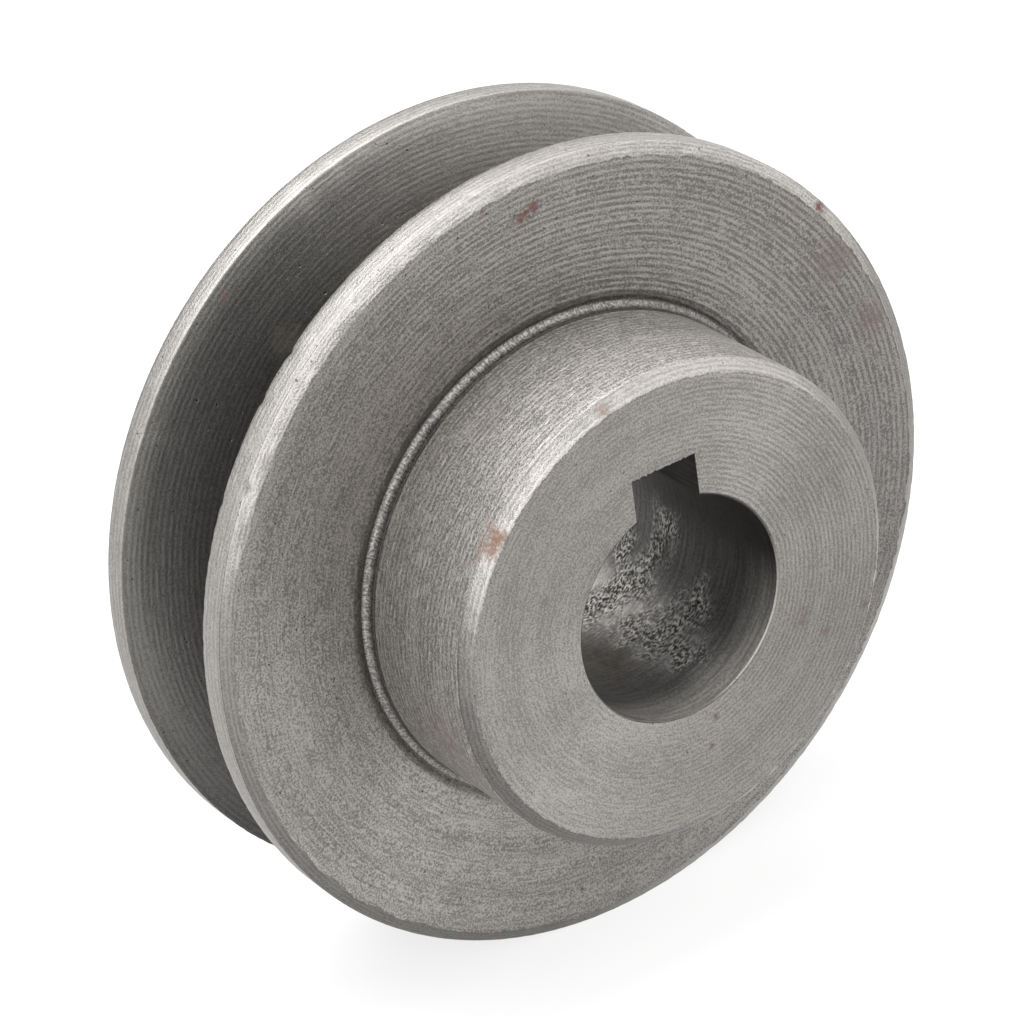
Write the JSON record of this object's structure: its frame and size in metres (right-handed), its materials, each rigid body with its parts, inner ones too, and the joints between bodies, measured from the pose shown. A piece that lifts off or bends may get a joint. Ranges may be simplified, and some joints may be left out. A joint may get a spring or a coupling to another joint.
{
  "type": "v-belt pulley",
  "caption": "Single-groove V-belt pulley in cast iron with a solid web, a hub projecting on one side and a bore with a keyway.",
  "frame": {"origin": "on the bore axis, in the middle plane of the belt groove", "axes": "+Y along the bore axis from the hub towards the rear face, +Z through the middle of the keyway, +X completing a right-handed frame"},
  "size_m": [0.0684, 0.0305, 0.0684],
  "materials": {
    "cast_iron": "bare grey iron, turned all over with visible feed marks, fine pores and a few rust spots"
  },
  "bodies": {
    "root": {"pulley_body": "cast_iron"}
  },
  "joints": []
}
